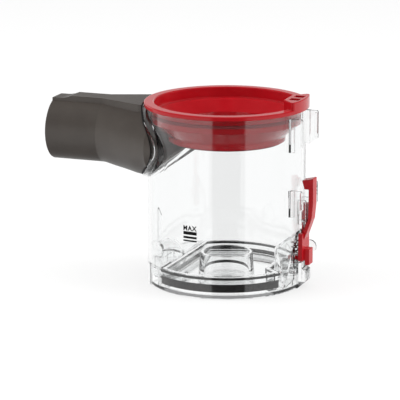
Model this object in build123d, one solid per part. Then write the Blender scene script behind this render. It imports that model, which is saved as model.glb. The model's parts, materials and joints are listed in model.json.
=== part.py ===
from build123d import *
import os

os.makedirs("parts", exist_ok=True)

# Frame: origin on the bin axis at the foot of the lid, +Z up, inlet along -X, catch at +X. Millimetres.

# Driving sizes of the clear bin
bin_r = 55.0
bin_top = 125.0
wall_t = 2.2
bin_in_r = bin_r - wall_t
bin_mid_r = bin_r - wall_t / 2
far = 4 * bin_r       # reach of a cutter that clears the whole part

# Shared fits
over = 1.0            # reach of a cutter past the face it cuts
seat_gap = 0.2        # between pieces that are fixed to each other
run_gap = 0.5         # between pieces that move past each other
pin_gap = 0.05        # radial, around a turning or sliding pin
soft = 0.4            # rounding of moulded edges

# Lid flange and the foot of the wall above it
lid_inset = 0.4
lid_r = bin_r - lid_inset
lid_flange_t = 2.85
lid_soft = 1.2
lid_gap = 0.45
bin_foot = lid_flange_t + lid_gap
lead_t = 1.1
lead_r = bin_in_r + lead_t
lead_low = 9.0
lead_rise = 7.0

# Hinge end of the bin
chord_depth = 22.0
chord_x = chord_depth - bin_r
chord_t = 2.0
shelf_z = 15.4
shelf_t = 1.6
dome_inset = 10.7
dome_x = dome_inset - bin_r
dome_r = 12.0
dome_t = 1.5
fin_t = 1.0
fin_in = 5.2
fin_rise = 32.2
fin_top = shelf_z + fin_rise
knuckle_r = 3.0
toe_lift = 0.4
hinge_inset = 8.0
hinge_x = hinge_inset - bin_r
hinge_z = knuckle_r + toe_lift
hinge_pin_r = 1.25
hinge_pin_len = 28.0
knuckle_split = 9.2
toe_reach = 3.3
toe_x = hinge_x + toe_reach
toe_gap = 0.7
lid_cut_x = toe_x + toe_gap
lid_cut_lean = 0.8

# Catch pocket
pocket_y = 12.0
pocket_flare = 10.0
pocket_wide = pocket_y + pocket_flare
pocket_top_y = 6.0
pocket_t = 1.6
pocket_depth = 15.6
pocket_in = bin_r - pocket_depth
pocket_low = 29.6
pocket_rise = 12.8
pocket_high = pocket_low + pocket_rise
seat_rise = 4.0
seat_z = pocket_low + seat_rise
seat_y = 4.0
wedge_y = pocket_wide
wedge_top_y = pocket_y - pocket_t
wedge_rise = 4.7
wedge_z = bin_foot + wedge_rise

# Lid plug
plug_gap = 1.6
plug_r = bin_in_r - plug_gap
chord_gap = 1.8
plug_chord_x = chord_x + chord_gap
plug_top = shelf_z
plug_t = 2.2
floor_z = 8.0
floor_t = 2.0
notch_gap = 3.0
notch_x = pocket_in - notch_gap
notch_side = 1.7
notch_y = pocket_y + notch_side
boss_r = 18.3
boss_taper = 1.7
boss_top = 20.6
boss_t = 2.0
boss_floor = 2.0

# Seals round the plug
lip_seal_t = 1.1
lip_seal_h = 1.6
lip_seal_drop = 0.6
foot_seal_t = 1.1
foot_seal_h = 5.6
foot_seal_z = bin_foot + 1.2

# Catch
travel = 6.0
plate_t = 3.0
plate_in = bin_r + run_gap
plate_mid = plate_in + plate_t / 2
plate_out = plate_in + plate_t
plate_y = 7.5
plate_low = 20.0
plate_h = 19.4
plate_high = plate_low + plate_h
arm_y = 4.0
arm_t = 3.2
arm_gap = 3.1
arm_in = plate_out + arm_gap
arm_out = arm_in + arm_t
arm_root = 5.0
arm_lean = 1.0
elbow_rise = 3.6
knee_rise = 10.0
tongue_y = 2.5
tongue_t = 3.4
tongue_inset = 0.9
tongue_in = plate_in + tongue_inset
tongue_h = 20.6
tongue_top = plate_high + tongue_h
head_rise = 18.4
head_top = tongue_top + head_rise
head_h = 7.8
head_inset = 1.3
head_in = plate_in + head_inset
head_undercut = 1.8
lug_t = 3.1
lug_gap = 0.8
lug_in = plate_out + lug_gap
lug_drop = 3.2
lug_h = 11.2
foot_reach = 8.8
foot_in = bin_r - foot_reach
foot_y = 3.5
foot_t = 2.2
spring_inset = 4.0
spring_x = foot_in + spring_inset
spring_r = 2.7
wire_r = 0.6
spring_turns = 3.0
spring_facets = 12
wire_sides = 6
catch_pin_r = 0.75
pin_x = tongue_in + tongue_t / 2

# Guides of the catch on the bin
cheek_t = 1.7
cheek_reach = 5.2
cheek_low = plate_high + travel + run_gap
cheek_h = 17.1
cheek_soft = 1.0
pin_rise = 2.5
catch_pin_z = cheek_low + pin_rise
ear_x = plate_out - run_gap
ear_rise = 6.5
ear_z = plate_low + ear_rise
ear_r = 4.6

# Latch tab of the lid
tab_y = 6.0
tab_t = 2.3
tab_gap = 0.3
tab_in = bin_r + tab_gap
tab_out = tab_in + tab_t
tab_drop = 1.5
tab_top = plate_low - tab_drop
lip_reach = 2.4
lip_out = tab_out + lip_reach
lip_rise = 1.5
lip_low = bin_foot + lip_rise
lip_h = 7.5
lip_top = lip_low + lip_h

# Runner rails, each span as its drop from the top and its length
rail_y = 17.0
rail_t = 1.6
rail_reach = 6.2
rail_out = bin_r + rail_reach
rail_hook = 3.2
rail_root_t = 3.0
rail_root_h = 0.4
rail_root = bin_r + rail_root_h
rail_lean = 3.9
rail_soft = 1.2
upper_rail_drop = 2.8
upper_rail_len = 23.4
lower_rail_drop = 53.0
lower_rail_len = 18.6
rail_spans = ((upper_rail_drop, upper_rail_len), (lower_rail_drop, lower_rail_len))

# Collar
collar_reach = 2.5
collar_r = bin_r + collar_reach
collar_under = bin_top + seat_gap
collar_h = 3.0
collar_top = bin_top + collar_h
rim_soft = 0.8
mouth_inset = 4.6
mouth_r = bin_r - mouth_inset
ledge_drop = 4.6
ledge_z = bin_top - ledge_drop
ledge_w = 3.6
ledge_soft = 2.0
skirt_inset = 14.0
skirt_r = bin_r - skirt_inset
skirt_t = 1.8
throat_r = skirt_r - skirt_t
skirt_drop = 23.3
skirt_low = bin_top - skirt_drop
throat_h = 10.4
bowl_h = 3.4
bowl_soft = 2.4
band_r = bin_in_r - 2 * seat_gap
band_drop = 9.8
band_low = bin_top - band_drop
groove_drop = 3.8
groove_high = bin_top - groove_drop
groove_h = 2.2
groove_t = 1.3
block_h = 5.5
block_top = collar_top + block_h
block_low = bin_top - over
block_reach = 5.6
block_in = mouth_r - block_reach
block_y = 9.0
block_lean = 1.08
block_soft = 2.0
recess_depth = 4.5
recess_floor = block_top - recess_depth
recess_inset = 3.2
recess_in = block_in + recess_inset
recess_w = 7.0
recess_y = 1.9
recess_len = 6.8
hook_in = bin_in_r
hook_t = 1.6
hook_nose = 2.1
hook_inset = 1.3
hook_y = recess_y + hook_inset
hook_len = 4.2
hook_rise = 2.2
hook_top = recess_floor + hook_rise
wiper_t = 1.1
wiper_h = 5.4
wiper_drop = 1.1
wiper_low = skirt_low - wiper_drop
wiper_high = wiper_low + wiper_h
wiper_reach = 2.0
wiper_lip_r = throat_r - wiper_reach

# Inlet nozzle
inlet_len = 73.3
mouth_x = -bin_r - inlet_len
socket_len = 38.3
flare_x = mouth_x + socket_len
root_inset = 10.0
root_x = root_inset - bin_r
nozzle_drop = 24.7
nozzle_z = bin_top - nozzle_drop
nozzle_r = 22.2
nozzle_t = 2.9
nozzle_in_r = nozzle_r - nozzle_t
port_drop = 27.0
port_z = bin_top - port_drop
root_a = 43.8
root_b = 25.5
root_t = 6.2
duct_a = root_a - root_t
duct_b = root_b - root_t
spigot_t = 2.0
rim_w = 3.6
rim_b = 1.2
rim_h = 3.5
rim_r = bin_r + rim_h
gasket_t = 0.7
gasket_inset = 0.3
flare_steps = 6
flare_power = 1.1
tall_share = 0.68     # part of the flare's length in which its height is full

# Terminal ridge on the nozzle
pad_rise = 0.4
pad_top = nozzle_z + nozzle_r + pad_rise
pad_len = 5.5
ridge_front = mouth_x + pad_len
ridge_h = 2.3
ridge_top = nozzle_z + nozzle_r + ridge_h
ridge_ramp = 8.5
ridge_y = 8.0
ridge_root_y = 20.0
ridge_root_gap = 3.0
ridge_root_x = -bin_r - ridge_root_gap
slot_y = 4.6
slot_wall = 0.7
slot_low = nozzle_z + nozzle_in_r + slot_wall
slot_h = 1.6
slot_high = slot_low + slot_h
slot_len = 24.0
slot_back = mouth_x + slot_len
insulator_len = 15.0
blade_y = 2.4
blade_w = 1.8
blade_t = 0.8
blade_inset = 4.0
blade_front = mouth_x + blade_inset

UP = (Align.CENTER, Align.CENTER, Align.MIN)


# Round bar standing on Z
def cyl(r, z0, z1, x=0, y=0):
    return Pos(x, y, z0) * Cylinder(r, z1 - z0, align=UP)


# Round bar lying along Y
def bar_y(r, half, x, z):
    return Pos(x, 0, z) * Rot(90, 0, 0) * Cylinder(r, 2 * half)


# Tube standing on Z
def ring(r_out, r_in, z0, z1):
    return cyl(r_out, z0, z1) - cyl(r_in, z0 - over, z1 + over)


# Block from its limits
def block(x0, x1, y0, y1, z0, z1):
    centre = Pos((x0 + x1) / 2, (y0 + y1) / 2, (z0 + z1) / 2)
    return centre * Box(x1 - x0, y1 - y0, z1 - z0)


# Outline in X and Z with rounded corners, given width across Y
def plate_xz(points, y0, y1, r=0):
    face = make_face(FilletPolyline(*[(x, y0, z) for x, z in points], radius=r, close=True))
    return extrude(face, amount=y1 - y0, dir=(0, 1, 0))


# Outline in Y and Z, given length along X
def plate_yz(points, x0, x1):
    face = make_face(Polyline(*[(x0, y, z) for y, z in points], close=True))
    return extrude(face, amount=x1 - x0, dir=(1, 0, 0))


# Outline in X and Y, given height
def plate_xy(points, z0, z1):
    face = make_face(Polyline(*[(x, y, z0) for x, y in points], close=True))
    return extrude(face, amount=z1 - z0, dir=(0, 0, 1))


# Outline of radius and height with rounded corners, turned about Z
def turned(points, r=0):
    face = make_face(FilletPolyline(*[(x, 0, z) for x, z in points], radius=r, close=True))
    return revolve(face, Axis.Z)


# Oval bar along X
def oval(a, b, z, x0, x1):
    return extrude(Plane((x0, 0, z), x_dir=(0, 1, 0), z_dir=(1, 0, 0)) * Ellipse(a, b), amount=x1 - x0)


# Both mirror copies across the middle plane
def pair(solid):
    return solid + mirror(solid, Plane.XZ)


# Wall of the bin, open over the lid flange, with a lead-in for the seal and room for the latch
def bin_wall():
    wall = ring(bin_r, bin_in_r, toe_lift, bin_top)
    toe = block(-far, toe_x, -far, far, -over, bin_foot)
    wall -= cyl(bin_r + over, toe_lift - over, bin_foot) - toe
    lead = Pos(0, 0, lead_low) * Cone(lead_r, bin_in_r, lead_rise, align=UP)
    lead += cyl(lead_r, -over, lead_low)
    lead -= block(-far, toe_x, -far, far, -2 * over, lead_low + lead_rise)
    wedge = ((-wedge_y, 0), (wedge_y, 0), (wedge_y, bin_foot))
    wedge += ((wedge_top_y, wedge_z), (-wedge_top_y, wedge_z), (-wedge_y, bin_foot))
    return wall - lead - plate_yz(wedge, pocket_in, bin_r + over)


# Oval seat for the inlet on the wall
def port_rim():
    rim = oval(root_a + rim_w, root_b + rim_b, port_z, -far, -bin_r / 2)
    rim &= ring(rim_r, bin_in_r, 0, collar_top)
    return rim - cyl(collar_r + run_gap, collar_under - run_gap, collar_top + over)


# Oval hole for the inlet spigot
def port_hole(grow):
    return oval(duct_a + spigot_t + grow, duct_b + spigot_t + grow, port_z, -far, -bin_r / 3)


# Shelf, chord wall and vault over the hinge, with a fin on the vault
def hinge_house():
    vault = Pos(dome_x, 0, shelf_z - shelf_t)
    shelf = block(-bin_r, chord_x, -bin_r, bin_r, shelf_z - shelf_t, shelf_z)
    shelf += block(chord_x - chord_t, chord_x, -bin_r, bin_r, bin_foot, shelf_z)
    shelf += vault * Sphere(dome_r)
    fin = ((-bin_r, shelf_z), (-bin_r, fin_top), (-bin_r + fin_in / 2, fin_top))
    fin += ((-bin_r + fin_in, fin_top - fin_in), (-bin_r + fin_in, shelf_z))
    shelf += plate_xz(fin, -fin_t / 2, fin_t / 2)
    shelf &= cyl(bin_mid_r, bin_foot, fin_top)
    hollow = vault * Sphere(dome_r - dome_t) & cyl(bin_in_r, 0, fin_top)
    under = block(-far, chord_x - chord_t, -far, far, 0, shelf_z - shelf_t)
    return shelf - hollow - under


# Fixed hinge knuckles
def bin_knuckles():
    half = hinge_pin_len / 2
    lug = bar_y(knuckle_r, half, hinge_x, hinge_z)
    lug += block(hinge_x - knuckle_r, hinge_x + knuckle_r, -half, half, hinge_z, shelf_z - shelf_t / 2)
    gap = knuckle_split + run_gap
    lug -= block(-far, 0, -gap, gap, -over, shelf_z - shelf_t)
    return lug & cyl(bin_mid_r, 0, shelf_z)


# Recess that the catch and its spring work in: sloped roof, spread at the wall, drawn in towards the top
def pocket_shape(inset, reach, low):
    slope = (pocket_high - pocket_low) / (bin_r - pocket_in)
    top = pocket_high - inset + slope * (reach - bin_r)
    x0 = pocket_in + inset
    side = ((x0, low), (x0, pocket_low - inset / 2), (reach, top), (reach, low))
    return plate_xz(side, -far, far) & flared(x0, pocket_y - inset, low, top) & drawn_in(inset, low)


# Plan that spreads from an inner half width towards the wall
def flare_plan(x0, y0):
    plan = ((x0, -y0), (x0 + pocket_flare, -y0 - pocket_flare), (far, -y0 - pocket_flare))
    return plan + tuple((x, -y) for x, y in reversed(plan))


def flared(x0, y0, low, high):
    return plate_xy(flare_plan(x0, y0), low, high)


def drawn_in(inset, low):
    foot = pocket_wide - inset
    top = pocket_top_y - inset
    return plate_yz(((-foot, low), (foot, low), (top, pocket_high), (-top, pocket_high)), 0, far)


def pocket_solid():
    return pocket_shape(0, bin_mid_r, bin_foot)


# The hollow is wide behind the wall and narrow where it opens through it
def pocket_hollow():
    half = pocket_y - pocket_t
    inner = cyl(bin_in_r, -over, bin_top) + block(0, far, -half, half, -over, bin_top)
    return pocket_shape(pocket_t, bin_r + over, bin_foot - over) & inner


# Stop that the spring pushes on
def spring_seat():
    return block(foot_in, bin_in_r, -seat_y, seat_y, seat_z, pocket_high) & pocket_solid()


# Cheeks with the cross pin above the pocket, and a round ear beside the plate on the far side
def catch_guides():
    y0 = arm_y + run_gap
    cheek = block(bin_mid_r, bin_r + cheek_reach, y0, y0 + cheek_t, cheek_low, cheek_low + cheek_h)
    cheek = fillet(cheek.edges().filter_by(Axis.Y).sort_by(Axis.X)[-2:], cheek_soft)
    cheek -= bar_y(catch_pin_r + pin_gap, bin_r, pin_x, catch_pin_z)
    ear = Pos(ear_x, pocket_y - pocket_t / 2, ear_z) * Rot(90, 0, 0) * Cylinder(ear_r, pocket_t)
    ear += block(bin_in_r - wall_t, ear_x, pocket_y - pocket_t, pocket_y, ear_z - ear_r, ear_z + ear_r)
    return pair(cheek) + ear


# Hooked rail on a thicker root, its lower end leaning
def rail(low, high):
    foot = bin_in_r - wall_t
    made = block(foot, rail_root, rail_y - rail_root_t / 2, rail_y + rail_root_t / 2, low, high)
    side = ((foot, low), (rail_root, low), (rail_out, low + rail_lean), (rail_out, high), (foot, high))
    made += plate_xz(side, rail_y - rail_t / 2, rail_y + rail_t / 2, (0, 0, rail_soft, rail_soft, 0))
    hook_low = low + rail_lean + rail_soft
    made += block(rail_out - rail_t, rail_out, rail_y - rail_hook, rail_y, hook_low, high - rail_soft)
    return made - cyl(bin_mid_r, low - over, high + over)


# Rails that ride on the machine's runner
def rails():
    made = [pair(rail(bin_top - drop - length, bin_top - drop)) for drop, length in rail_spans]
    return made[0] + made[1]


# Snap tongues that hold the collar
def collar_hooks():
    hook = block(hook_in, hook_in + hook_t, hook_y, hook_y + hook_len, bin_top - over, hook_top)
    low = recess_floor + seat_gap
    nose = ((hook_in - hook_nose, low), (hook_in, low), (hook_in, hook_top))
    return pair(hook + plate_xz(nose, hook_y, hook_y + hook_len))


def bin_body():
    body = bin_wall() + port_rim() + hinge_house() + bin_knuckles()
    body -= port_hole(seat_gap)
    body += pocket_solid() & cyl(bin_mid_r, 0, bin_top)
    body -= pocket_hollow()
    body += spring_seat() + catch_guides() + rails() + collar_hooks()
    return body - bar_y(hinge_pin_r + pin_gap, hinge_pin_len / 2 + pin_gap, hinge_x, hinge_z)


# Plan of the lid's plug, grown or shrunk all round
def plug_plan(grow):
    plan = Circle(plug_r + grow)
    plan -= Pos(plug_chord_x - grow - far / 2, 0) * Rectangle(far, far)
    notch = flare_plan(notch_x + grow, notch_y - grow)
    return plan - make_face(Polyline(*notch, close=True))


# Upright slice of a plan
def rise(plan, z0, z1):
    return extrude(Pos(0, 0, z0) * plan, amount=z1 - z0)


# Foot flange, cut off at the hinge with a leaning edge
def lid_flange():
    disc = cyl(lid_r, 0, lid_flange_t)
    disc = chamfer(disc.edges().sort_by(Axis.Z)[0], lid_soft)
    cut = ((-far, -over), (lid_cut_x, -over), (lid_cut_x, 0))
    cut += ((lid_cut_x + lid_cut_lean, lid_flange_t), (-far, lid_flange_t + over))
    return disc - plate_xz(cut, -far, far)


# Hollow centre boss, closed at the foot
def lid_boss():
    boss = Cone(boss_r + boss_taper, boss_r, boss_top, align=UP)
    boss = chamfer(boss.edges().sort_by(Axis.Z)[-1], soft)
    return boss - cyl(boss_r - boss_t, boss_floor, boss_top + over)


# Tab that the catch's lug holds, with the lip that opens the lid
def lid_tab():
    root = lid_r - 2 * plug_t
    outline = ((root, 0), (lid_r, 0), (lip_out, lip_low), (lip_out, lip_top))
    outline += ((tab_out, lip_top + lip_reach), (tab_out, tab_top), (tab_in, tab_top))
    outline += ((tab_in, lid_flange_t), (root, lid_flange_t))
    return plate_xz(outline, -tab_y, tab_y)


def base_lid():
    lid = lid_flange() + rise(plug_plan(0), 0, plug_top)
    lid -= rise(plug_plan(-plug_t), floor_z, plug_top + over)
    lid -= rise(plug_plan(-plug_t), -over, floor_z - floor_t)
    lid -= cyl(boss_r - boss_t, boss_floor, boss_top)
    lid += lid_boss() + lid_tab() + bar_y(knuckle_r, knuckle_split, hinge_x, hinge_z)
    bridge = lid_cut_x + lid_cut_lean + over
    lid += block(hinge_x, bridge, -knuckle_split, knuckle_split, hinge_z - knuckle_r, lid_flange_t)
    return lid - bar_y(hinge_pin_r + pin_gap, bin_r, hinge_x, hinge_z)


# Rubber ring round the plug
def plug_ring(t, z0, z1):
    return rise(plug_plan(t) - plug_plan(pin_gap), z0, z1)


def lid_seal():
    high = plug_top - lip_seal_drop
    return plug_ring(lip_seal_t, high - lip_seal_h, high)


# Foot band, open at the catch's notch
def lid_foot_seal():
    band = plug_ring(foot_seal_t, foot_seal_z, foot_seal_z + foot_seal_h)
    mouth = notch_y + pocket_flare
    return band - block(0, far, -mouth, mouth, 0, plug_top)


def lid_hinge_pin():
    return bar_y(hinge_pin_r, hinge_pin_len / 2, hinge_x, hinge_z)


# Raised rear block of the collar
def rear_block():
    far_y = block_y + (far - block_in) * block_lean
    plan = ((block_in, -block_y), (far, -far_y), (far, far_y), (block_in, block_y))
    raised = plate_xy(plan, block_low, block_top) & cyl(collar_r, block_low, block_top)
    sides = raised.edges().filter_by(Axis.Z).group_by(Axis.Y)
    raised = fillet(sides[0] + sides[-1], block_soft)
    raised = chamfer(raised.faces().sort_by(Axis.Z)[-1].edges(), soft)
    return raised - ring(far, band_r, block_low - over, collar_under)


# Slot in the collar that a snap tongue passes
def hook_slot():
    x1 = hook_in + hook_t + seat_gap
    y1 = hook_y + hook_len + seat_gap
    return block(hook_in - seat_gap, x1, hook_y - seat_gap, y1, bin_top - over, recess_floor + over)


# Rim, band, funnel and skirt in one turned profile, each corner with its rounding
def collar_ring():
    corners = (
        (band_r, collar_under, 0),
        (collar_r, collar_under, 0),
        (collar_r, collar_top, rim_soft),
        (mouth_r, collar_top, rim_soft),
        (mouth_r, ledge_z, rim_soft),
        (mouth_r - ledge_w, ledge_z, ledge_soft),
        (throat_r, skirt_low + throat_h, 0),
        (throat_r, skirt_low, 0),
        (skirt_r, skirt_low, 0),
        (skirt_r, skirt_low + bowl_h, bowl_soft),
        (band_r, band_low, 0),
    )
    return turned([c[:2] for c in corners], [c[2] for c in corners])


def collar():
    made = collar_ring() + rear_block()
    made -= ring(far, band_r - groove_t, groove_high - groove_h, groove_high)
    recess = block(recess_in, recess_in + recess_w, recess_y, recess_y + recess_len, recess_floor, far)
    return made - pair(recess) - pair(hook_slot())


def collar_seal():
    low = groove_high - groove_h + pin_gap
    return ring(bin_in_r - pin_gap, band_r - groove_t + pin_gap, low, groove_high - pin_gap)


# Soft lip inside the skirt
def shroud_wiper():
    outer = throat_r - pin_gap
    profile = ((outer, wiper_low), (outer, wiper_high), (outer - wiper_t, wiper_high))
    profile += ((wiper_lip_r, wiper_low + wiper_t), (wiper_lip_r, wiper_low))
    return turned(profile)


# Trumpet between the round tube and the oval root, which gets its full height before its full width
def trumpet(r, a, b):
    cuts = []
    for i in range(flare_steps + 1):
        s = i / flare_steps
        wide = s ** flare_power
        tall = min(1, s / tall_share)
        x = flare_x + (root_x - flare_x) * s
        z = nozzle_z + (port_z - nozzle_z) * tall
        plane = Plane((x, 0, z), x_dir=(0, 1, 0), z_dir=(1, 0, 0))
        cuts.append(plane * Ellipse(r + (a - r) * wide, r + (b - r) * tall))
    return loft(cuts)


# Flat pad at the mouth and flat-topped ridge behind it, with a curved ramp between them
def terminal_ridge():
    plan = ((mouth_x, -ridge_y), (flare_x, -ridge_y), (ridge_root_x, -ridge_root_y))
    plan += ((root_x, -ridge_root_y), (root_x, ridge_root_y), (ridge_root_x, ridge_root_y))
    plan += ((flare_x, ridge_y), (mouth_x, ridge_y))
    foot = (ridge_front, 0, pad_top)
    top = (ridge_front + ridge_ramp, 0, ridge_top)
    ramp = TangentArc(foot, top, tangent=(1, 0, 0))
    back = ((root_x, 0, ridge_top), (root_x, 0, nozzle_z), (mouth_x, 0, nozzle_z), (mouth_x, 0, pad_top))
    rest = Polyline(top, *back, foot)
    side = extrude(make_face([ramp, *rest.edges()]), amount=ridge_root_y, dir=(0, 1, 0), both=True)
    return plate_xy(plan, nozzle_z, ridge_top) & side


# Round bar along the tube's axis
def tube_bar(r, x0, x1):
    return Pos((x0 + x1) / 2, 0, nozzle_z) * Rot(0, 90, 0) * Cylinder(r, x1 - x0)


def inlet_nozzle():
    tube = tube_bar(nozzle_r, mouth_x, flare_x)
    tube = fillet(tube.edges().sort_by(Axis.X)[0], soft)
    made = tube + trumpet(nozzle_r, root_a, root_b) + terminal_ridge()
    made += oval(root_a, root_b, port_z, root_x, -bin_r / 2)
    made -= cyl(rim_r + gasket_t, 0, 2 * bin_top)
    spigot = oval(duct_a + spigot_t, duct_b + spigot_t, port_z, -far, -bin_r / 2)
    made += spigot & ring(rim_r + gasket_t + over, bin_in_r + seat_gap, 0, 2 * bin_top)
    made -= tube_bar(nozzle_in_r, mouth_x - over, flare_x)
    made -= trumpet(nozzle_in_r, duct_a, duct_b)
    made -= oval(duct_a, duct_b, port_z, root_x, 0)
    return made - block(mouth_x - over, slot_back, -slot_y, slot_y, slot_low, slot_high)


def inlet_gasket():
    sheet = oval(root_a - gasket_inset, root_b - gasket_inset, port_z, -far, -bin_r / 2)
    sheet &= ring(rim_r + gasket_t, rim_r + pin_gap, 0, 2 * bin_top)
    return sheet - port_hole(seat_gap)


# Contact blade, or the slot that takes it
def blade(side, grow):
    y0 = side * blade_y
    z0 = (slot_low + slot_high) / 2
    half = blade_w / 2 + grow
    thick = blade_t / 2 + grow
    return block(blade_front, slot_back - over, y0 - half, y0 + half, z0 - thick, z0 + thick)


def terminal_block():
    back = slot_back - seat_gap
    half = slot_y - seat_gap
    made = block(back - insulator_len, back, -half, half, slot_low, slot_high - seat_gap)
    return made - blade(-1, pin_gap) - blade(1, pin_gap)


# Side view of the catch's bent arm and finger head
def catch_arm():
    outline = ((plate_mid, plate_high - arm_root / 2), (plate_out, plate_high - arm_root))
    outline += ((arm_in, plate_high + elbow_rise), (arm_out - arm_lean, plate_high + knee_rise))
    outline += ((arm_out, tongue_top), (arm_out, head_top))
    outline += ((head_in, head_top - head_undercut), (head_in + head_undercut, head_top - head_h))
    outline += ((arm_in, head_top - head_h), (arm_in, tongue_top))
    outline += ((arm_in - arm_lean / 2, catch_pin_z), (plate_mid, plate_high))
    return plate_xz(outline, -arm_y, arm_y, soft)


# Lug that holds the lid's tab
def catch_lug():
    low = plate_low - lug_drop
    outline = ((plate_mid, plate_low), (lug_in, plate_low), (lug_in, low), (lug_in + lug_t, low))
    outline += ((lug_in + lug_t, low + lug_h), (plate_mid, low + lug_h))
    return plate_xz(outline, -arm_y, arm_y, soft)


def base_catch():
    made = block(plate_in, plate_out, -plate_y, plate_y, plate_low, plate_high)
    made += catch_arm() + catch_lug()
    made += block(tongue_in, tongue_in + tongue_t, -tongue_y, tongue_y, plate_high - over, tongue_top)
    made += block(foot_in, plate_out, -foot_y, foot_y, plate_low, plate_low + foot_t)
    r = catch_pin_r + pin_gap
    slot = block(pin_x - r, pin_x + r, -plate_y, plate_y, catch_pin_z - travel, catch_pin_z)
    slot += bar_y(r, plate_y, pin_x, catch_pin_z) + bar_y(r, plate_y, pin_x, catch_pin_z - travel)
    return made - slot


def catch_pin():
    return bar_y(catch_pin_r, arm_y + run_gap + cheek_t, pin_x, catch_pin_z)


def catch_spring():
    low = plate_low + foot_t + wire_r + pin_gap
    high = seat_z - wire_r - pin_gap
    count = round(spring_turns * spring_facets)
    path = []
    for i in range(count + 1):
        turn = 360 * i / spring_facets
        path.append(Vector(spring_r, 0, low + (high - low) * i / count).rotate(Axis.Z, turn))
    start = Plane(path[0], z_dir=path[1] - path[0])
    wire = RegularPolygon(wire_r, wire_sides)
    return Pos(spring_x, 0, 0) * sweep(start * wire, path=Polyline(*path), transition=Transition.RIGHT)


makers = {
    "bin_body": bin_body,
    "base_lid": base_lid,
    "lid_seal": lid_seal,
    "lid_foot_seal": lid_foot_seal,
    "lid_hinge_pin": lid_hinge_pin,
    "collar": collar,
    "collar_seal": collar_seal,
    "shroud_wiper": shroud_wiper,
    "inlet_nozzle": inlet_nozzle,
    "inlet_gasket": inlet_gasket,
    "terminal_block": terminal_block,
    "base_catch": base_catch,
    "catch_pin": catch_pin,
    "catch_spring": catch_spring,
}
for node, make in makers.items():
    export_step(make(), "parts/" + node + ".step")
for node, side in (("contact_left", -1), ("contact_right", 1)):
    export_step(blade(side, 0), "parts/" + node + ".step")
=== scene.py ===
import json
import math

import bpy
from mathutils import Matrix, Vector


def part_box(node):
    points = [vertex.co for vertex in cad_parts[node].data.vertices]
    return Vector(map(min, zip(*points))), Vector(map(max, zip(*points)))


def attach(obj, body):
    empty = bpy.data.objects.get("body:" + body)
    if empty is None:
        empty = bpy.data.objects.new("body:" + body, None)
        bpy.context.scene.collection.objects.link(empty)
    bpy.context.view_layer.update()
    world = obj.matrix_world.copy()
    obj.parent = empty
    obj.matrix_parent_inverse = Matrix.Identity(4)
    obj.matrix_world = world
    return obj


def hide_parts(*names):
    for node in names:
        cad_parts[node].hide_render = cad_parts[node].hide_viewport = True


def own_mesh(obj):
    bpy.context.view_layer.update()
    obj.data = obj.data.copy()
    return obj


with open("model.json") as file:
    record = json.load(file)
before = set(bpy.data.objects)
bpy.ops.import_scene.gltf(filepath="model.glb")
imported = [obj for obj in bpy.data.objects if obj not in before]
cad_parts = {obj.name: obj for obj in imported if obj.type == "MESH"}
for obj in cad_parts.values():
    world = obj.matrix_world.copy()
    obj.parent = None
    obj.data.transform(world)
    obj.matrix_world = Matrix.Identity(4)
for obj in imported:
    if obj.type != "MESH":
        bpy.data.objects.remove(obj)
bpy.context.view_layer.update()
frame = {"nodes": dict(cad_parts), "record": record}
nodes = frame["nodes"]

# Places on the part, in metres, from the frame
MM = 0.001
wall_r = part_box("bin_body")[1].y
foot_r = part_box("base_lid")[1].y
spring_low, spring_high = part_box("catch_spring")


# Camera, fitted to the photograph's view
IMAGE_SIZE = 400
FOCAL_PIXELS = 2647.9
SENSOR_MM = 36.0
VIEW_REACH = 20
CAMERA_AZIMUTH = math.radians(20)
CAMERA_PLACE = Vector((615.64, -1691.45, 489.3)) * MM
AIM_POINT = Vector((0, 0, 65)) * MM
AIM_PIXEL = (226.52, 189.1)


def make_camera():
    data = bpy.data.cameras.new("camera")
    data.sensor_width = SENSOR_MM
    data.lens = SENSOR_MM * FOCAL_PIXELS / IMAGE_SIZE
    data.clip_end = VIEW_REACH
    camera = bpy.data.objects.new("camera", data)
    bpy.context.scene.collection.objects.link(camera)
    right = Vector((math.cos(CAMERA_AZIMUTH), math.sin(CAMERA_AZIMUTH), 0))
    view = (AIM_POINT - CAMERA_PLACE).normalized()
    up = right.cross(view)
    middle = IMAGE_SIZE / 2
    view += right * (middle - AIM_PIXEL[0]) / FOCAL_PIXELS
    view -= up * (middle - AIM_PIXEL[1]) / FOCAL_PIXELS
    camera.location = CAMERA_PLACE
    camera.rotation_euler = view.to_track_quat("-Z", "Y").to_euler()
    bpy.context.scene.camera = camera


# Small helpers for node trees
def add(tree, kind, **values):
    node = tree.nodes.new(kind)
    for key, value in values.items():
        setattr(node, key, value)
    return node


def math_node(tree, operation, a, b, clamp=False):
    node = add(tree, "ShaderNodeMath", operation=operation, use_clamp=clamp)
    for socket, value in zip(node.inputs, (a, b)):
        if isinstance(value, (int, float)):
            socket.default_value = value
        else:
            tree.links.new(value, socket)
    return node.outputs[0]


# A value carried from one span to another
def remap(tree, value, source, target, interpolation="LINEAR"):
    node = add(tree, "ShaderNodeMapRange", interpolation_type=interpolation)
    names = ("From Min", "From Max", "To Min", "To Max")
    for name, limit in zip(names, (*source, *target)):
        node.inputs[name].default_value = limit
    tree.links.new(value, node.inputs["Value"])
    return node.outputs["Result"]


def new_material(name):
    material = bpy.data.materials.new(name)
    material.use_nodes = True
    tree = material.node_tree
    return material, tree, tree.nodes["Principled BSDF"]


# Noise in the part's own metres; stretch squeezes it along an axis
NOISE_SPAN = (0.3, 0.7)
GRAIN_DETAIL = 3.0
CLOUD_DETAIL = 4.0
RIPPLE_DETAIL = 1.0


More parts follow.
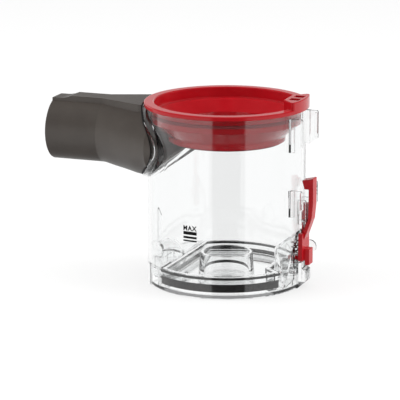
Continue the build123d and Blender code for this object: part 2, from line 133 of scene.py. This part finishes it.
def noise(tree, scale, detail, stretch=(1, 1, 1)):
    place = add(tree, "ShaderNodeTexCoord")
    mapping = add(tree, "ShaderNodeMapping")
    mapping.inputs["Scale"].default_value = stretch
    texture = add(tree, "ShaderNodeTexNoise")
    texture.inputs["Scale"].default_value = scale
    texture.inputs["Detail"].default_value = detail
    tree.links.new(place.outputs["Object"], mapping.inputs["Vector"])
    tree.links.new(mapping.outputs["Vector"], texture.inputs["Vector"])
    return texture.outputs["Fac"]


def tinted(tree, value, dark, light):
    ramp = add(tree, "ShaderNodeValToRGB")
    for element, position, colour in zip(ramp.color_ramp.elements, NOISE_SPAN, (dark, light)):
        element.position = position
        element.color = (*colour, 1)
    tree.links.new(value, ramp.inputs["Fac"])
    return ramp.outputs["Color"]


# Fine relief, over edges rounded by the given radius
EDGE_SAMPLES = 6


def bump(tree, height, strength, distance, edge=0.0):
    node = add(tree, "ShaderNodeBump")
    node.inputs["Strength"].default_value = strength
    node.inputs["Distance"].default_value = distance
    tree.links.new(height, node.inputs["Height"])
    if edge:
        rounded = add(tree, "ShaderNodeBevel", samples=EDGE_SAMPLES)
        rounded.inputs["Radius"].default_value = edge
        tree.links.new(rounded.outputs["Normal"], node.inputs["Normal"])
    return node.outputs["Normal"]


# Opaque moulded material with cloudy colour, uneven gloss, a fine skin and softened edges
EDGE_ROUND = 0.35 * MM
CLOUD_SCALE = 60
OPAQUE_IOR = 1.5


def moulded(name, dark, light, rough, skin, metallic=0.0, stretch=(1, 1, 1), shine=0.5):
    skin_scale, skin_strength, skin_depth = skin
    material, tree, bsdf = new_material(name)
    bsdf.inputs["Specular IOR Level"].default_value = shine
    bsdf.inputs["Metallic"].default_value = metallic
    bsdf.inputs["IOR"].default_value = OPAQUE_IOR
    cloud = noise(tree, CLOUD_SCALE, CLOUD_DETAIL, stretch)
    grain = noise(tree, skin_scale, GRAIN_DETAIL, stretch)
    tree.links.new(tinted(tree, cloud, dark, light), bsdf.inputs["Base Color"])
    tree.links.new(remap(tree, grain, NOISE_SPAN, rough), bsdf.inputs["Roughness"])
    tree.links.new(bump(tree, grain, skin_strength, skin_depth, EDGE_ROUND), bsdf.inputs["Normal"])
    return material


# Clear moulded plastic: slight ripples of the mould, faint haze and a little absorption in thick places
CLEAR_COLOUR = (0.985, 0.99, 0.99, 1)
CLEAR_IOR = 1.51
HAZE_SCALE = 90
HAZE_ROUGH = (0.0, 0.03)
RIPPLE_SCALE = 35
RIPPLE_STRETCH = (1, 1, 0.4)
RIPPLE_STRENGTH = 0.05
RIPPLE_DEPTH = 0.2 * MM
ABSORB_COLOUR = (0.10, 0.14, 0.15, 1)
ABSORB_DENSITY = 2.5


def clear_plastic(name):
    material, tree, bsdf = new_material(name)
    bsdf.inputs["Base Color"].default_value = CLEAR_COLOUR
    bsdf.inputs["Transmission Weight"].default_value = 1.0
    bsdf.inputs["IOR"].default_value = CLEAR_IOR
    haze = noise(tree, HAZE_SCALE, CLOUD_DETAIL)
    ripple = noise(tree, RIPPLE_SCALE, RIPPLE_DETAIL, RIPPLE_STRETCH)
    tree.links.new(remap(tree, haze, NOISE_SPAN, HAZE_ROUGH), bsdf.inputs["Roughness"])
    tree.links.new(bump(tree, ripple, RIPPLE_STRENGTH, RIPPLE_DEPTH), bsdf.inputs["Normal"])
    volume = add(tree, "ShaderNodeVolumeAbsorption")
    volume.inputs["Color"].default_value = ABSORB_COLOUR
    volume.inputs["Density"].default_value = ABSORB_DENSITY
    tree.links.new(volume.outputs["Volume"], tree.nodes["Material Output"].inputs["Volume"])
    return material


# The same plastic for the lid, with painted shade round the edge of its foot: a dark grey colour
# standing in for the shadow under it, seen through the clear plastic
FOOT_HEIGHT = 2.9 * MM
FOOT_SKIN = 0.5 * MM
FOOT_PAINTED_SHADE = (0.09, 0.09, 0.092, 1)


def lid_plastic(name):
    material = clear_plastic(name)
    tree = material.node_tree
    place = add(tree, "ShaderNodeTexCoord")
    split = add(tree, "ShaderNodeSeparateXYZ")
    tree.links.new(place.outputs["Object"], split.inputs[0])
    x, y, z = split.outputs
    square = math_node(tree, "ADD", math_node(tree, "MULTIPLY", x, x), math_node(tree, "MULTIPLY", y, y))
    outside = math_node(tree, "GREATER_THAN", square, (foot_r - FOOT_SKIN) ** 2)
    low = math_node(tree, "LESS_THAN", z, FOOT_HEIGHT)
    mix = add(tree, "ShaderNodeMix", data_type="RGBA")
    clear, painted_shade = [socket for socket in mix.inputs if socket.type == "RGBA"]
    clear.default_value = CLEAR_COLOUR
    painted_shade.default_value = FOOT_PAINTED_SHADE
    mixed = next(socket for socket in mix.outputs if socket.type == "RGBA")
    # Painted shade: the foot's outer skin, below the foot's height, takes the dark grey colour in place
    # of the clear one
    tree.links.new(math_node(tree, "MULTIPLY", outside, low), mix.inputs["Factor"])
    tree.links.new(mixed, tree.nodes["Principled BSDF"].inputs["Base Color"])
    return material


# Skins: grains per metre, then the relief's strength and depth
GLOSSY_SKIN = (1400, 0.02, 0.02 * MM)
MATT_SKIN = (2600, 0.25, 0.03 * MM)
PLAIN_SKIN = (2200, 0.2, 0.03 * MM)
RUBBER_SKIN = (1800, 0.3, 0.04 * MM)
LIP_SKIN = (1800, 0.25, 0.04 * MM)
METAL_SKIN = (900, 0.12, 0.02 * MM)
INK_SKIN = (2600, 0.15, 0.01 * MM)

# Opaque materials; a metal's stretch lays its grain along the piece
OPAQUE = {
    "red_plastic": {
        "dark": (0.48, 0.007, 0.013), "light": (0.53, 0.010, 0.017),
        "rough": (0.08, 0.14), "skin": GLOSSY_SKIN, "shine": 0.35,
    },
    "catch_red": {
        "dark": (0.55, 0.009, 0.016), "light": (0.61, 0.012, 0.020),
        "rough": (0.18, 0.26), "skin": GLOSSY_SKIN, "shine": 0.2,
    },
    "grey_plastic": {
        "dark": (0.070, 0.058, 0.050), "light": (0.081, 0.068, 0.058),
        "rough": (0.34, 0.46), "skin": MATT_SKIN,
    },
    "black_plastic": {
        "dark": (0.018, 0.018, 0.018), "light": (0.028, 0.028, 0.027),
        "rough": (0.4, 0.55), "skin": PLAIN_SKIN,
    },
    "black_rubber": {
        "dark": (0.012, 0.012, 0.012), "light": (0.022, 0.021, 0.02),
        "rough": (0.55, 0.75), "skin": RUBBER_SKIN,
    },
    "red_rubber": {
        "dark": (0.26, 0.012, 0.018), "light": (0.32, 0.016, 0.022),
        "rough": (0.5, 0.65), "skin": LIP_SKIN,
    },
    "steel": {
        "dark": (0.56, 0.56, 0.57), "light": (0.64, 0.64, 0.65),
        "rough": (0.22, 0.36), "skin": METAL_SKIN, "metallic": 1.0, "stretch": (1, 6, 1),
    },
    "spring_steel": {
        "dark": (0.20, 0.19, 0.18), "light": (0.28, 0.27, 0.26),
        "rough": (0.24, 0.36), "skin": METAL_SKIN, "metallic": 1.0, "stretch": (1, 1, 6),
    },
    "contact_brass": {
        "dark": (0.68, 0.52, 0.24), "light": (0.78, 0.62, 0.32),
        "rough": (0.2, 0.34), "skin": METAL_SKIN, "metallic": 1.0, "stretch": (0.2, 3, 3),
    },
    "mark_ink": {
        "dark": (0.005, 0.005, 0.005), "light": (0.009, 0.009, 0.009),
        "rough": (0.35, 0.5), "skin": INK_SKIN, "shine": 0.1,
    },
}


def make_materials():
    made = {name: moulded(name, **look) for name, look in OPAQUE.items()}
    made["clear_plastic"] = clear_plastic("clear_plastic")
    made["lid_plastic"] = lid_plastic("lid_plastic")
    return made


# Nodes with a finish of their own
SURFACES = {"base_catch": "catch_red", "base_lid": "lid_plastic"}


def dress_nodes(materials):
    for part in frame["record"]["subparts"]:
        mesh = nodes[part["node"]].data
        mesh.materials.clear()
        mesh.materials.append(materials[SURFACES.get(part["node"], part["material_slot"])])


# Round-wire coil in place of the faceted one
WIRE_R = 0.6 * MM
WIRE_ROUNDNESS = 3
COIL_TURNS = 3.0
COIL_STEPS = 36


def make_spring(materials):
    middle = (spring_low + spring_high) / 2
    coil_r = (spring_high.y - spring_low.y) / 2 - WIRE_R
    low = spring_low.z + WIRE_R
    rise = spring_high.z - spring_low.z - 2 * WIRE_R
    curve = bpy.data.curves.new("catch_spring_coil", "CURVE")
    curve.dimensions = "3D"
    curve.bevel_depth = WIRE_R
    curve.bevel_resolution = WIRE_ROUNDNESS
    curve.use_fill_caps = True
    count = round(COIL_TURNS * COIL_STEPS)
    line = curve.splines.new("POLY")
    line.points.add(count)
    for i, point in enumerate(line.points):
        turn = 2 * math.pi * i / COIL_STEPS
        x = middle.x + coil_r * math.cos(turn)
        point.co = (x, middle.y + coil_r * math.sin(turn), low + rise * i / count, 1)
    shape = bpy.data.objects.new("coil_line", curve)
    mesh = bpy.data.meshes.new_from_object(shape)
    bpy.data.objects.remove(shape)
    mesh.polygons.foreach_set("use_smooth", [True] * len(mesh.polygons))
    mesh.materials.clear()
    mesh.materials.append(materials["spring_steel"])
    coil = bpy.data.objects.new("catch_spring_coil", mesh)
    bpy.context.scene.collection.objects.link(coil)
    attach(coil, "bin")
    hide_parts("catch_spring")
    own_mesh(coil)


# Fill mark printed on the wall: the heights of its bars and its word, in millimetres
MARK_LEFT = math.radians(-102.3)
MARK_RIGHT = math.radians(-91.6)
MARK_BARS = ((44.4, 46.7), (41.75, 43.3), (39.65, 40.75))
MARK_WORD = (47.3, 50.8)
MARK_STEPS = 12
LETTER_SPACE = 1.15
LETTER_WEIGHT = 0.035
LETTER_STEPS = 4
INK_LIFT = 0.04 * MM


# Both flat meshes have x along the wall and y up it
def bar_mesh(width):
    vertices = []
    faces = []
    for low, high in MARK_BARS:
        start = len(vertices)
        for i in range(MARK_STEPS + 1):
            x = width * i / MARK_STEPS
            vertices += [(x, low * MM, 0), (x, high * MM, 0)]
        for i in range(MARK_STEPS):
            a = start + 2 * i
            faces.append((a, a + 2, a + 3, a + 1))
    mesh = bpy.data.meshes.new("fill_mark_bars")
    mesh.from_pydata(vertices, [], faces)
    return mesh


def word_mesh(width):
    letters = bpy.data.curves.new("fill_mark_word", "FONT")
    letters.body = "MAX"
    letters.space_character = LETTER_SPACE
    letters.offset = LETTER_WEIGHT
    letters.resolution_u = LETTER_STEPS
    shape = bpy.data.objects.new("fill_mark_word", letters)
    mesh = bpy.data.meshes.new_from_object(shape)
    bpy.data.objects.remove(shape)
    xs = [vertex.co.x for vertex in mesh.vertices]
    ys = [vertex.co.y for vertex in mesh.vertices]
    low, high = MARK_WORD
    for vertex in mesh.vertices:
        across = (vertex.co.x - min(xs)) / (max(xs) - min(xs))
        up = (vertex.co.y - min(ys)) / (max(ys) - min(ys))
        vertex.co = (across * width, (low + up * (high - low)) * MM, 0)
    return mesh


# A flat mesh laid round the bin
def wrap_on_wall(mesh):
    reach = wall_r + INK_LIFT
    for vertex in mesh.vertices:
        turn = MARK_LEFT + vertex.co.x / wall_r
        vertex.co = (reach * math.cos(turn), reach * math.sin(turn), vertex.co.y)


def make_mark(materials):
    width = (MARK_RIGHT - MARK_LEFT) * wall_r
    for name, mesh in (("fill_mark_bars", bar_mesh(width)), ("fill_mark_word", word_mesh(width))):
        wrap_on_wall(mesh)
        mesh.materials.clear()
        mesh.materials.append(materials["mark_ink"])
        mark = bpy.data.objects.new(name, mesh)
        bpy.context.scene.collection.objects.link(mark)
        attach(mark, "bin")


# Studio surround, white to the camera, to gloss and through glass, and dimmer as a plain light.
# Mirrored in a surface, it also has a dark gap on the camera's side, a dim sky and a dim ground.
WHITE = (1, 1, 1, 1)
AMBIENT = 0.55
GAP_HALF = math.radians(24)
GAP_SOFT = math.radians(2)
GAP_TURN = math.radians(3)
GAP_LEVEL = 0.05
SKY_LOW = math.radians(-2)
SKY_HIGH = math.radians(29)
SKY_LEVEL = 0.12
GROUND_LOW = math.radians(-65)
GROUND_HIGH = math.radians(-30)
GROUND_LEVEL = 0.3

# Past the first reflection, only this share of the sky's dimming is left
FIRST_MIRROR_DEPTH = 2.5
DEEP_SHARE = 0.12


# How bright the surround is, seen along a path
def surround_level(tree, path):
    place = add(tree, "ShaderNodeTexCoord")
    split = add(tree, "ShaderNodeSeparateXYZ")
    tree.links.new(place.outputs["Generated"], split.inputs[0])
    level_way = add(tree, "ShaderNodeCombineXYZ")
    tree.links.new(split.outputs["X"], level_way.inputs["X"])
    tree.links.new(split.outputs["Y"], level_way.inputs["Y"])
    heading = add(tree, "ShaderNodeVectorMath", operation="NORMALIZE")
    tree.links.new(level_way.outputs[0], heading.inputs[0])
    facing = add(tree, "ShaderNodeVectorMath", operation="DOT_PRODUCT")
    turn = CAMERA_AZIMUTH + GAP_TURN
    facing.inputs[1].default_value = (math.sin(turn), -math.cos(turn), 0)
    tree.links.new(heading.outputs[0], facing.inputs[0])

    gap_span = (math.cos(GAP_HALF + GAP_SOFT), math.cos(GAP_HALF - GAP_SOFT))
    sky_span = (math.sin(SKY_LOW), math.sin(SKY_HIGH))
    ground_span = (math.sin(GROUND_LOW), math.sin(GROUND_HIGH))
    gap = remap(tree, facing.outputs["Value"], gap_span, (1.0, GAP_LEVEL), "SMOOTHSTEP")
    sky = remap(tree, split.outputs["Z"], sky_span, (1.0, SKY_LEVEL), "SMOOTHSTEP")
    ground = remap(tree, split.outputs["Z"], ground_span, (GROUND_LEVEL, 1.0), "SMOOTHSTEP")

    deep = math_node(tree, "GREATER_THAN", path.outputs["Ray Depth"], FIRST_MIRROR_DEPTH)
    share = math_node(tree, "SUBTRACT", 1.0, math_node(tree, "MULTIPLY", deep, 1 - DEEP_SHARE))
    sky_loss = math_node(tree, "MULTIPLY", share, math_node(tree, "SUBTRACT", 1.0, sky))
    level = math_node(tree, "MULTIPLY", gap, math_node(tree, "SUBTRACT", 1.0, sky_loss))
    level = math_node(tree, "MULTIPLY", level, ground)
    mirrored = math_node(tree, "MINIMUM", path.outputs["Glossy Depth"], 1.0)
    loss = math_node(tree, "MULTIPLY", mirrored, math_node(tree, "SUBTRACT", 1.0, level))
    return math_node(tree, "SUBTRACT", 1.0, loss)


def make_world():
    world = bpy.data.worlds.new("studio")
    bpy.context.scene.world = world
    world.use_nodes = True
    tree = world.node_tree
    tree.nodes.clear()
    path = add(tree, "ShaderNodeLightPath")
    seen = math_node(tree, "ADD", path.outputs["Is Camera Ray"], path.outputs["Is Glossy Ray"], True)
    seen = math_node(tree, "ADD", seen, path.outputs["Is Transmission Ray"], True)
    plain = add(tree, "ShaderNodeBackground")
    plain.inputs["Color"].default_value = WHITE
    plain.inputs["Strength"].default_value = AMBIENT
    white = add(tree, "ShaderNodeBackground")
    white.inputs["Color"].default_value = WHITE
    tree.links.new(surround_level(tree, path), white.inputs["Strength"])
    mix = add(tree, "ShaderNodeMixShader")
    tree.links.new(seen, mix.inputs[0])
    tree.links.new(plain.outputs[0], mix.inputs[1])
    tree.links.new(white.outputs[0], mix.inputs[2])
    out = add(tree, "ShaderNodeOutputWorld")
    tree.links.new(mix.outputs[0], out.inputs["Surface"])


# White floor that takes a soft shadow; the camera half sees through it, to a lid hung open below it
FLOOR_SIZE = 6.0
FLOOR_COLOUR = (0.7, 0.7, 0.7, 1)
FLOOR_ROUGH = 0.9
FLOOR_GLOW = 0.4
FLOOR_CLEAR = 0.5


def make_floor():
    mesh = bpy.data.meshes.new("floor")
    half = FLOOR_SIZE / 2
    corners = [(-half, -half, 0), (half, -half, 0), (half, half, 0), (-half, half, 0)]
    mesh.from_pydata(corners, [], [(0, 1, 2, 3)])
    floor = bpy.data.objects.new("floor", mesh)
    bpy.context.scene.collection.objects.link(floor)
    material, tree, bsdf = new_material("pale_floor")
    bsdf.inputs["Base Color"].default_value = FLOOR_COLOUR
    bsdf.inputs["Roughness"].default_value = FLOOR_ROUGH
    bsdf.inputs["Specular IOR Level"].default_value = 0.0
    bsdf.inputs["Emission Color"].default_value = WHITE
    camera_ray = add(tree, "ShaderNodeLightPath").outputs["Is Camera Ray"]
    glow = math_node(tree, "MULTIPLY", camera_ray, FLOOR_GLOW)
    tree.links.new(glow, bsdf.inputs["Emission Strength"])
    clear = add(tree, "ShaderNodeBsdfTransparent")
    mix = add(tree, "ShaderNodeMixShader")
    tree.links.new(math_node(tree, "MULTIPLY", camera_ray, FLOOR_CLEAR), mix.inputs[0])
    tree.links.new(bsdf.outputs[0], mix.inputs[1])
    tree.links.new(clear.outputs[0], mix.inputs[2])
    tree.links.new(mix.outputs[0], tree.nodes["Material Output"].inputs["Surface"])
    mesh.materials.append(material)
    floor.visible_glossy = False
    floor.visible_transmission = False


# Soft boxes: turn from the camera's side, elevation, distance, width and height, radiance
LAMPS = {
    "left_box": (math.radians(-84), math.radians(42), 1.4, (1.0, 1.2), 2.2),
    "right_box": (math.radians(80), math.radians(24), 1.5, (0.9, 1.2), 2.8),
    "top_box": (math.pi, math.radians(75), 1.5, (1.2, 1.2), 1.0),
}


def soft_box(name, turn, elevation, distance, size, radiance):
    data = bpy.data.lights.new(name, "AREA")
    data.shape = "RECTANGLE"
    data.size, data.size_y = size
    data.energy = radiance * math.pi * size[0] * size[1]
    lamp = bpy.data.objects.new(name, data)
    bpy.context.scene.collection.objects.link(lamp)
    azimuth = CAMERA_AZIMUTH + turn
    level = distance * math.cos(elevation)
    rise = distance * math.sin(elevation)
    away = Vector((level * math.sin(azimuth), -level * math.cos(azimuth), rise))
    lamp.location = AIM_POINT + away
    lamp.rotation_euler = (-away).to_track_quat("-Z", "Y").to_euler()
    lamp.visible_glossy = False
    lamp.visible_transmission = False


# Light crosses many clear layers, so it gets more bounces
LIGHT_BOUNCES = 32
GLOSSY_BOUNCES = 16

make_camera()
materials = make_materials()
dress_nodes(materials)
make_spring(materials)
make_mark(materials)
make_world()
make_floor()
for lamp_name, lamp_values in LAMPS.items():
    soft_box(lamp_name, *lamp_values)
scene = bpy.context.scene
scene.view_settings.view_transform = "Standard"
scene.cycles.max_bounces = LIGHT_BOUNCES
scene.cycles.transmission_bounces = LIGHT_BOUNCES
scene.cycles.glossy_bounces = GLOSSY_BOUNCES
